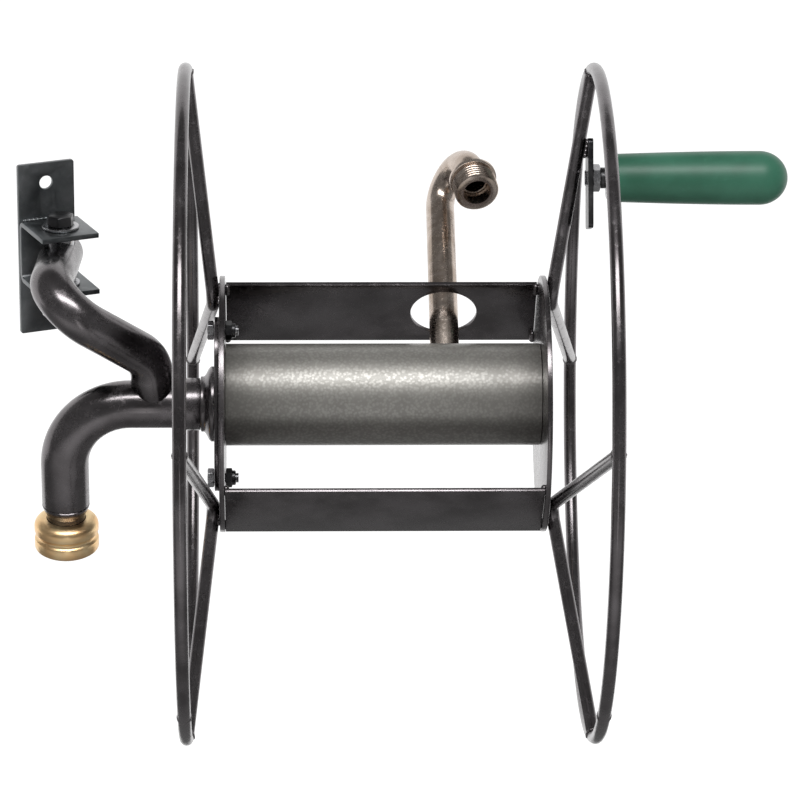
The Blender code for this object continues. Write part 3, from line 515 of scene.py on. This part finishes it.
# The weld follows the line where the tube's foot meets the water pipe's round top.
seam = []
for side, out, _ in circle(ARM_D / 2, 32):
    out += 0.5
    rise = math.sqrt((ROUND_PIPE_D / 2) ** 2 - out**2)
    seam.append(AXLE + Vector((FOOT_X + side, out, rise)))
weld("arm_weld", "swing_arm", gunmetal, [seam], 1.5, arm_place)

# Water pipe. One bent length of pipe: its level run is the axle that the reel turns on, and its drop
# ends in a turned tail for the hose nut. A collar is welded on it outside the hub.
ELBOW = AXLE + Vector((1.5, 0, 0))
LEAN = math.radians(8)
DROP = 67
REEL_X = 192
down = Vector((0, math.sin(LEAN), -math.cos(LEAN)))
inner_end = AXLE + Vector((200, 0, 0))
water_pipe = pipe(28.6, 22.2, [inner_end, ELBOW, ELBOW + down * DROP], bends=(40,), sides=56)
to_right = Matrix.Rotation(math.pi / 2, 4, "Y")
reel_centre = Matrix.Translation((AXLE + Vector((REEL_X, 0, 0))) * MM)
groove = turned([(18, -92.2), (18, -90), (13.4, -90), (13.4, -92.2), (18, -92.2)])
groove.data.transform(reel_centre @ to_right)
combine(water_pipe, groove)
ease(water_pipe, 0.3)
fit(water_pipe, "water_pipe", "swing_arm", gunmetal, ["inlet_pipe"], arm_place)

axle_place = arm_place @ reel_centre @ to_right
collar = washer(31.2, ROUND_PIPE_D, -117.8, -108.8, edge=0.4)
fit(collar, "pipe_collar", "swing_arm", gunmetal, ["axle_collar"], axle_place)
weld("collar_weld", "swing_arm", gunmetal, [circle(15.1, 24, -118)], 0.9, axle_place)

drop_place = arm_place @ Matrix.Translation(ELBOW * MM) @ Matrix.Rotation(LEAN, 4, "X")
tail = turned([
    (9, -52), (10.8, -52), (10.8, -67.3), (13.8, -67.3), (14.3, -67.8), (13.9, -69.5), (12.6, -72.3),
    (11.9, -73.6), (11.7, -74.6), (11.7, -82), (13.05, -82), (13.05, -83.7), (12.7, -84), (9, -84),
    (9, -52),
])
fit(tail, "pipe_tail", "swing_arm", gunmetal, ["inlet_tail"], drop_place)

# Brass hose nut. Turned brass with two rims and a waist, and a 3/4 inch hose thread inside. It spins
# on the tail's neck, above the tail's lip, over a flat black rubber washer.
brass, shader, spot = finish("brass", Metallic=1, Coat_Weight=0.1)
haze = spot.noise(70, 4).between(0.3, 0.7)
rings = spot.stretched((60, 60, 2600)).noise(1, 2)
feed(
    shader,
    Base_Color=haze.blend((0.92, 0.6, 0.3, 1), (1, 0.78, 0.46, 1)),
    Roughness=haze * 0.1 + rings * 0.14 + 0.24,
    Normal=rings.bumps(0.03, 0.5),
)
HOSE_PITCH = 2.2
NUT_R = 19.4
SOCKET_R = 13.4
NECK_R = 13.2
shoulder = []
for i in range(11):
    turn = math.pi / 20 * i
    shoulder.append((NECK_R + (NUT_R - NECK_R) * math.sin(turn), -5 * (1 - math.cos(turn))))
socket = []
for i in range(4):
    depth = -20.2 + HOSE_PITCH * i
    socket += [(SOCKET_R, depth), (SOCKET_R, depth + 0.7), (13.05, depth + 1), (13.05, depth + 1.5)]
hose_nut = turned([
    *shoulder, (NUT_R, -8), (19.1, -8.8), (18.3, -9.3), (17.7, -10), (17.5, -11), (17.7, -12),
    (18.3, -12.7), (19.1, -13.2), (NUT_R, -14), (NUT_R, -19), (19, -19.8), (17.6, -20.9), (17.3, -21),
    (13.9, -21), *socket, (SOCKET_R, -7), (SOCKET_R, -4.7), (12, -4.7), (12, 0), (NECK_R, 0),
], 80)
hang = drop_place @ Matrix.Translation((0, 0, -77 * MM))
fit(hose_nut, "hose_nut", "hose_coupling", brass, ["inlet_nut"], hang)

rubber, shader, spot = finish("black_rubber", Metallic=0)
dust = spot.noise(160, 4).between(0.4, 0.7)
feed(
    shader,
    Base_Color=dust.blend((0.012, 0.012, 0.012, 1), (0.03, 0.029, 0.028, 1)),
    Roughness=dust * 0.15 + 0.7,
    Normal=spot.noise(1100, 3).bumps(0.03, 0.4),
)
seal = washer(26.2, 16, -10.3, -7.3, edge=0.4)
fit(seal, "hose_seal", "hose_coupling", rubber, ["hose_washer"], hang)

# Hoops and spokes. Each side has a 5/16 inch rod bent to a 16 inch hoop and butt welded, and two rods
# bent to a V. A V's point is welded to the end disc, and its two ends are welded to the hoop.
HOOP_R = 199.23
ROD_D = 7.94
SPOKE_POINT_R = 61
SPREAD_DEGREES = 81.8
BUTT_DEGREES = 205
reel_place = arm_place @ reel_centre @ Matrix.Rotation(math.radians(-20), 4, "X")


def around(radius, degrees, x=0):
    """A point at this distance from the axle, and at this angle from the reel's top to its back."""
    turn = math.radians(degrees)
    return Vector((x, radius * math.sin(turn), radius * math.cos(turn)))


def saddle(end, run, tangent):
    """The line round a rod's end, where it meets the hoop's round side."""
    across = run.cross(tangent).normalized()
    level = across.cross(run)
    return [
        end - run * (abs(side) + 0.6) + (level * side + across * out) * 0.9
        for side, out, _ in circle(ROD_D / 2, 24)
    ]


wire_circle(ROD_D / 2 * MM, (0, 0, HOOP_R * MM), (math.pi / 2, 0, 0), 16)
bpy.ops.mesh.spin(steps=180, angle=2 * math.pi, center=(0, 0, 0), axis=(1, 0, 0))
hoops = alike(close_up(), 2)
sides = (("left", -117, -100.71, -97.8), ("right", 125.6, 100.39, 97.8))
for hoop, (side, plane, point_x, foot_x) in zip(hoops, sides):
    fit(hoop, f"{side}_ring", "reel", gunmetal, [f"{side}_hoop"],
        reel_place @ Matrix.Translation((plane * MM, 0, 0)))
    butt = around(HOOP_R, BUTT_DEGREES, plane)
    seams = [[butt + around(3.5, 30 * i).yxz for i in range(13)]]
    for half, start in (("upper", 0), ("lower", 180)):
        point = around(SPOKE_POINT_R, start, point_x)
        ends = [around(HOOP_R, start + turn, plane) for turn in (0, SPREAD_DEGREES)]
        runs = [(end - point).normalized() for end in ends]
        rod_line = [ends[0] - runs[0], point, ends[1] - runs[1]]
        spokes = bent(ROD_D, rod_line, bends=(12,), sides=20)
        fit(spokes, f"{side}_{half}_rod", "reel", gunmetal, [f"{side}_{half}_spoke"], reel_place)
        for end, run, turn in zip(ends, runs, (0, SPREAD_DEGREES)):
            seams.append(saddle(end, run, around(1, start + turn + 90)))
        beside = around(3.4, start + SPREAD_DEGREES / 2)
        near = around(SPOKE_POINT_R + 2.2, start + 1, foot_x)
        far = around(SPOKE_POINT_R + 8, start + 4, foot_x)
        seams += [[near + beside, far + beside], [near - beside, far - beside]]
    weld(f"{side}_hoop_welds", "reel", gunmetal, seams, 1.1, reel_place)

# Reel core. Two sheared steel discs, tied by two flat slats that are tacked to them at the corners.
# The upper slat has a round hole that the outlet pipe comes out through.
DISC_D = 153
DISC_IN, DISC_OUT = 94, 97
SLAT_R = 70.327
SLAT_DEGREES = 37.1
HUB_BORE = 35
HUB_BOLT_BORE = 6.8
HUB_BOLT_R = 43.974
OUTLET_X = 38


def on_axle(piece, raised=0):
    """Turns a piece that was made upright to lie along the axle, above it by this much."""
    piece.data.transform(Matrix.Translation((0, 0, raised * MM)) @ to_right)
    return piece


def drill_for_hub(piece):
    """Drills the hole that the hub's bush shows in, and a bolt hole on both sides of it."""
    drill(piece, HUB_BORE, (-105, 0, 0), (-90, 0, 0))
    for z in (HUB_BOLT_R, -HUB_BOLT_R):
        drill(piece, HUB_BOLT_BORE, (-105, 0, z), (-90, 0, z))


left = on_axle(rod(DISC_D, (0, 0, -DISC_OUT), (0, 0, -DISC_IN), 160))
drill_for_hub(left)
right = on_axle(rod(DISC_D, (0, 0, DISC_IN), (0, 0, DISC_OUT), 160))
for name, disc in (("left", left), ("right", right)):
    ease(disc, 0.35)
    fit(disc, f"{name}_end_disc", "reel", gunmetal, [f"{name}_disc"], reel_place)

slats = alike(block(187.4, 54, 2.5, (0, 0, SLAT_R)), 2)
drill(slats[0], 40, (OUTLET_X, 0, SLAT_R - 5), (OUTLET_X, 0, SLAT_R + 5))
tack_z = SLAT_R - 1.6
tacks = [[(x, y * 25.5, tack_z), (x, y * 20.5, tack_z)] for x in (-93, 93) for y in (-1, 1)]
for slat, name, angle in zip(slats, ("upper", "lower"), (SLAT_DEGREES, 207.1)):
    ease(slat, 0.3)
    slat_place = reel_place @ Matrix.Rotation(math.radians(-angle), 4, "X")
    fit(slat, f"{name}_tie_slat", "reel", gunmetal, [f"{name}_slat"], slat_place)
    weld(f"{name}_slat_tacks", "reel", gunmetal, tacks, 2.2, slat_place)

# Drum. A thin round tube between the discs, set a little above the axle. Its paint is a hammered
# silver grey: shallow bright cells with dark veins between them.
hammered, shader, spot = finish("hammertone_grey", Metallic=0.9, Coat_Weight=0.4, Coat_Roughness=0.25)
bend = spot.noise(260, 2)
cells = spot.node(
    "TexVoronoi", {"feature": "SMOOTH_F1"}, {"Vector": spot, "Scale": 560, "Smoothness": 0.6}
)
patches = spot.noise(90, 3).between(0.3, 0.7)
veins = (cells + bend * 0.35).between(0.42, 0.78)
speck = spot.noise(1300, 3, 0.6)
feed(
    shader,
    Base_Color=(veins * 0.7 + patches * 0.3).blend((0.44, 0.428, 0.402, 1), (0.33, 0.32, 0.296, 1)),
    Roughness=veins * 0.06 + speck * 0.06 + 0.43,
    Normal=(speck * 0.25 - veins).bumps(0.03, 0.5),
)
drum = on_axle(washer(60.8, 57.6, -93.7, 93.7, edge=0.3, sides=128), raised=5.6)
out = around(1, SLAT_DEGREES)
outlet_root = Vector((OUTLET_X, 0, 0))
drill(drum, 19, outlet_root, outlet_root + out * 60)
fit(drum, "hammered_drum", "reel", hammered, ["drum"], reel_place)

# Hub. A strap with round ends and a dished cup hold the reel's nylon bush on the fixed pipe. Two
# bolts pass through the strap and the disc, with black lock nuts on the reel's side.
strap = block(3, 50, 103.95, (-98.8, 0, 0))
round_corners(strap, (1, 0, 0), 24.9, 24)
drill_for_hub(strap)
ease(strap, 0.35)
fit(strap, "hub_plate", "reel", gunmetal, ["hub_strap"], reel_place)

cup = on_axle(turned([
    (20, -100.6), (22.5, -100.6), (22.5, -102), (22.1, -102.9), (21, -103.8), (17.9, -105.4),
    (16.9, -106.2), (16.5, -107), (16.5, -108.1), (16.2, -108.5), (15.2, -108.5), (14.9, -108.2),
    (14.9, -106.6), (15.6, -105.4), (18.6, -103.9), (20, -102.4), (20, -100.6),
]))
fit(cup, "hub_cap", "reel", gunmetal, ["hub_cup"], reel_place)

HUB_FLATS = 10
to_left = Matrix.Rotation(-math.pi / 2, 4, "Y")
bolts = alike(hex_bolt(HUB_FLATS, head=4, diameter=6.2, reach=14.6, thread=9), 2)
nuts = alike(lock_nut(HUB_FLATS, height=6, bore=HUB_BOLT_BORE), 2)
for bolt, nut, end, z in zip(bolts, nuts, ("upper", "lower"), (HUB_BOLT_R, -HUB_BOLT_R)):
    head_place = reel_place @ Matrix.Translation(Vector((-100.6, 0, z)) * MM) @ to_left
    fit(bolt, f"hub_screw_{end}", "reel", zinc, [f"hub_bolt_{end}"], head_place)
    nut_place = reel_place @ Matrix.Translation(Vector((-93.7, 0, z)) * MM) @ to_right
    fit(nut, f"hub_locknut_{end}", "reel", black_oxide, [f"hub_nut_{end}"], nut_place)

# Inner pieces. The swivel, its seals and spigot, the bush, the snap ring and the drum's support
# keep their plain shapes, and take the finish of what each is made of.
nylon, shader, spot = finish("white_nylon", Metallic=0, Subsurface_Weight=0.1)
flow = spot.noise(60, 3).between(0.3, 0.7)
feed(
    shader,
    Base_Color=flow.blend((0.62, 0.62, 0.57, 1), (0.74, 0.74, 0.7, 1)),
    Roughness=flow * 0.15 + 0.4,
    Normal=spot.noise(700, 2).bumps(0.02, 0.3),
)
inner = {
    brass: ["swivel_body", "seal_spigot"], rubber: ["seal_ring_left", "seal_ring_right"],
    nylon: ["hub_bush", "grip_bush"], zinc: ["axle_circlip", "grip_clip"], black_oxide: ["support_ring"],
}
for look, names in inner.items():
    for name in names:
        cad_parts[name].data.materials.clear()
        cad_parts[name].data.materials.append(look)

# Outlet. A plated pipe comes out of the swivel, passes the drum and the slat, and ends in a crook.
# The threaded hose end is soldered on it. Its dark nickel plating has warm patches.
nickel, shader, spot = finish("polished_nickel", Metallic=1)
stain = spot.noise(55, 5, 0.6, 0.6).between(0.35, 0.65)
marks = spot.noise(500, 4, 0.65).between(0.5, 0.7)
feed(
    shader,
    Base_Color=stain.blend((0.44, 0.36, 0.3, 1), (0.66, 0.57, 0.505, 1)),
    Roughness=stain * 0.05 + marks * 0.1 + 0.2,
    Normal=(stain + marks * 0.3).bumps(0.02, 0.4),
)
STRAIGHT = 151.4
CROOK_R = 18
CROOK_SWEEP = math.radians(163)
aside = math.radians(60)
rightwards = Vector((1, 0, 0))
over = rightwards * math.cos(aside) + rightwards.cross(out) * math.sin(aside)

# The crook is two bends in one sweep. The second is a hair tighter, which leaves them just apart.
reach = CROOK_R * math.tan(CROOK_SWEEP / 4)
foot = outlet_root + out * 15.2
first = outlet_root + out * (STRAIGHT + reach)
halfway = out * math.cos(CROOK_SWEEP / 2) + over * math.sin(CROOK_SWEEP / 2)
second = first + halfway * 2 * reach
outflow = out * math.cos(CROOK_SWEEP) + over * math.sin(CROOK_SWEEP)
seat = second + outflow * (reach + 8)
crook = pipe(17.5, 13.8, [foot, first, second, seat + outflow * 5.7], bends=(CROOK_R, CROOK_R - 0.01))
ease(crook, 0.25)
fit(crook, "crook_pipe", "reel", nickel, ["outlet_pipe"], reel_place)

ROOT_R = 12.5
crests = []
for i in range(5):
    top = 15.4 - HOSE_PITCH * i
    crests += [
        (ROOT_R, top + 0.3), (13.3, top - 0.2), (13.45, top - 0.5), (13.3, top - 0.8), (ROOT_R, top - 1.3),
    ]
hose_end = turned([
    (8.5, 16), (12, 16), *crests, (ROOT_R, 3), (13.9, 3), (14.4, 2.7), (14.5, 2.4), (14.5, 0.6),
    (14.2, 0.2), (13.8, 0), (9.1, 0), (9.1, 6), (8.5, 6), (8.5, 16),
], 72)
hose_end_place = Matrix.Translation(seat * MM) @ outflow.to_track_quat("Z", "Y").to_matrix().to_4x4()
fit(hose_end, "hose_thread", "reel", nickel, ["outlet_fitting"], reel_place @ hose_end_place)

# Crank handle. A black steel tab is welded by its top to the upper right spoke. A long bolt is locked
# in it with a nut, and carries a spacer, a washer and the green plastic grip, which spins on it.
TAB_X = 122.417
HANDLE_R = 134.8
tab = block(3, 26, 53.5, (TAB_X + 1.5, 0, 131.25))
round_corners(tab, (1, 0, 0), 3, 5)
drill(tab, BOLT_BORE, (TAB_X - 5, 0, HANDLE_R), (TAB_X + 8, 0, HANDLE_R))
ease(tab, 0.35)
fit(tab, "crank_tab", "reel", black_oxide, ["handle_tab"], reel_place)
seams = [[(TAB_X + 0.2, y, 157), (TAB_X - 1.4, y, 148)] for y in (-3.9, 3.9)]
weld("crank_tab_weld", "reel", gunmetal, seams, 1.3, reel_place)

handle_place = reel_place @ Matrix.Translation((0, 0, HANDLE_R * MM)) @ to_right
nut = hexagon(BOLT_FLATS, 125.72, 130.22)
drill(nut, BOLT_BORE, (0, 0, 120), (0, 0, 135))
fit(nut, "crank_nut", "reel", zinc, ["handle_nut"], handle_place)
spacer = washer(12.6, BOLT_BORE, 130.52, 133.62)
fit(spacer, "crank_spacer", "reel", black_oxide, ["handle_spacer"], handle_place)
big_washer = washer(25, BOLT_BORE, 133.92, 136.42, edge=0.4)
fit(big_washer, "crank_washer", "reel", zinc, ["handle_washer"], handle_place)
spindle = rod(BOLT_D, (0, 0, 133), (0, 0, 231.3), 48)
combine(spindle, threaded(BOLT_D, 120.92, 133.1), "UNION")
fit(spindle, "crank_spindle", "reel", zinc, ["handle_bolt"], handle_place)

green, shader, spot = finish("green_grip", Metallic=0, Coat_Weight=0.15, Coat_Roughness=0.45)
cloud = spot.noise(45, 4).between(0.3, 0.7)
grain = spot.noise(1500, 3, 0.6)
scuffs = spot.noise(320, 5, 0.7).between(0.56, 0.7)
feed(
    shader,
    Base_Color=(cloud * 0.7 + scuffs * 0.3).blend((0.013, 0.092, 0.051, 1), (0.028, 0.138, 0.084, 1)),
    Roughness=grain * 0.1 + scuffs * 0.1 + 0.38,
    Normal=(grain + cloud).bumps(0.03, 0.5),
)

# The grip's outline starts inside its bore, comes round its mouth, swells, and ends in a round tip.
GRIP_Z = 136.717
GRIP_L = 106
WIDEST = 89.04
MOUTH_R = 14.35
SWELL = 1.8
profile = [(6, 99), (7.5, 98.9), (7.5, 0.8), (8.3, 0), (13.6, 0), (14.1, 0.25), (14.36, 0.8)]
for i in range(1, 17):
    share = i / 16
    profile.append((MOUTH_R + SWELL * math.sin(math.pi / 2 * share), WIDEST * share))
for i in range(1, 18):
    turn = math.pi / 2 * i / 18
    profile.append(((MOUTH_R + SWELL) * math.cos(turn), WIDEST + (GRIP_L - WIDEST) * math.sin(turn)))
grip = turned([*profile, (0.5, GRIP_L)], 96)
grip_place = handle_place @ Matrix.Translation((0, 0, GRIP_Z * MM))
fit(grip, "crank_grip", "crank_grip", green, ["grip"], grip_place)

# Camera. It looks square on at the reel's axle from a little above it, and is panned a little to the
# right, so that the bracket stands at the picture's left edge and the grip at its right edge.
AIM = Vector((0.1037, -0.1111, -0.079))
DISTANCE = 2.55
LOOK_DOWN = math.radians(20)
TURNED = math.radians(22.5)
PAN = math.radians(1.776)
TILT_UP = math.radians(0.058)
ROLL = math.radians(0.5)
level = math.cos(LOOK_DOWN)
back = Vector((-math.sin(TURNED) * level, -math.cos(TURNED) * level, math.sin(LOOK_DOWN)))
camera_data = bpy.data.cameras.new("camera")
camera_data.lens = 192.2
camera_data.sensor_width = 36
camera = bpy.data.objects.new("camera", camera_data)
bpy.context.scene.collection.objects.link(camera)
camera.location = AIM + back * DISTANCE
heading = Matrix.Rotation(-(TURNED + PAN), 3, "Z")
pitch = Matrix.Rotation(math.pi / 2 - LOOK_DOWN + TILT_UP, 3, "X")
camera.rotation_euler = (heading @ pitch @ Matrix.Rotation(ROLL, 3, "Z")).to_euler()
bpy.context.scene.camera = camera

# Studio. A wide pale floor far below, which the camera and the metal see as white, and two soft lamps
# in front. A grey hood over the front, and a table that grows darker towards the reel, give the
# round steel its dark edges, and are seen in reflections alone.
scene = bpy.context.scene
scene.view_settings.view_transform = "Standard"
UP = Vector((0, 0, 1))
front = Matrix.Rotation(-TURNED, 3, "Z") @ Vector((0, -1, 0))


def looked_at(tree):
    """1 for what the camera sees, straight on or by way of metal or glass, and 0 for other light."""
    kinds = ("Is Camera Ray", "Is Glossy Ray", "Is Transmission Ray")
    straight, mirrored, through = (Wire(tree).node("LightPath", {}, {}, kind) for kind in kinds)
    return (straight + mirrored + through).between(0, 0.5)


world = bpy.data.worlds.new("studio")
scene.world = world
world.use_nodes = True
sky = world.node_tree.nodes["Background"]
sky.inputs["Strength"].default_value = 1
feed(sky, Color=looked_at(world.node_tree).blend((0.75, 0.75, 0.75, 1), (1, 1, 1, 1)))

bpy.ops.object.select_all(action="DESELECT")
bpy.ops.mesh.primitive_plane_add(size=60, location=-UP)
floor = bpy.context.object
floor.name = "studio_floor"
paper, shader, spot = finish("floor_paper", Roughness=0.9, Emission_Strength=1)
feed(
    shader,
    Base_Color=spot.noise(2).between(0.2, 0.8).blend((0.7, 0.7, 0.7, 1), (0.74, 0.74, 0.74, 1)),
    Emission_Color=looked_at(paper.node_tree).blend((0, 0, 0, 1), (0.5, 0.5, 0.5, 1)),
)
floor.data.materials.append(paper)


def lamp(name, heading, height, distance, size, power):
    """A soft lamp, aimed at the reel from a compass heading and a height in degrees."""
    light = bpy.data.lights.new(name, "AREA")
    light.shape = "RECTANGLE"
    light.size, light.size_y = size
    light.energy = power
    holder = bpy.data.objects.new(name, light)
    scene.collection.objects.link(holder)
    turn, rise = math.radians(heading), math.radians(height)
    way = Vector((math.sin(turn) * math.cos(rise), math.cos(turn) * math.cos(rise), math.sin(rise)))
    holder.location = AIM + way * distance
    holder.rotation_euler = way.to_track_quat("Z", "Y").to_euler()
    holder.visible_camera = False


lamp("top_softbox", heading=202, height=58, distance=2.2, size=(1.9, 0.6), power=34)
lamp("front_fill", heading=202, height=-16, distance=2.2, size=(0.3, 1.3), power=1.5)

# The hood is a ball round the reel, cut across behind it, so that its back and foot are open.
HOOD_R = 3.2
HOOD_TILT = math.radians(35)
BEHIND = 0.5
facing = front * math.cos(HOOD_TILT) + UP * math.sin(HOOD_TILT)
bpy.ops.object.select_all(action="DESELECT")
bpy.ops.mesh.primitive_uv_sphere_add(segments=48, ring_count=32, radius=HOOD_R, location=AIM)
hood = bpy.context.object
bpy.ops.object.mode_set(mode="EDIT")
bpy.ops.mesh.bisect(plane_co=AIM - facing * BEHIND, plane_no=facing, clear_inner=True)
bpy.ops.object.mode_set(mode="OBJECT")
hood.name = "studio_hood"
cloth, _, _ = finish("dark_cloth", Base_Color=(0.26, 0.26, 0.26, 1), Roughness=1)
hood.data.materials.append(cloth)

TABLE_AHEAD = 1.15
TABLE_BELOW = 0.88
bpy.ops.object.select_all(action="DESELECT")
bpy.ops.mesh.primitive_plane_add(
    size=1, location=AIM + front * TABLE_AHEAD - UP * TABLE_BELOW, rotation=(0, 0, -TURNED)
)
table = bpy.context.object
table.scale = (6, 4.1, 1)
table.name = "studio_table"
cloth, shader, spot = finish("table_cloth", Roughness=1)
nearness = spot.node("SeparateXYZ", {}, {"Vector": spot}, "Y").between(-0.04, 0.25)
feed(shader, Base_Color=nearness.blend((0.55, 0.55, 0.55, 1), (0.2, 0.2, 0.2, 1)))
table.data.materials.append(cloth)
for backdrop in (hood, table):
    for kind in ("camera", "diffuse", "transmission", "shadow", "volume_scatter"):
        setattr(backdrop, f"visible_{kind}", False)
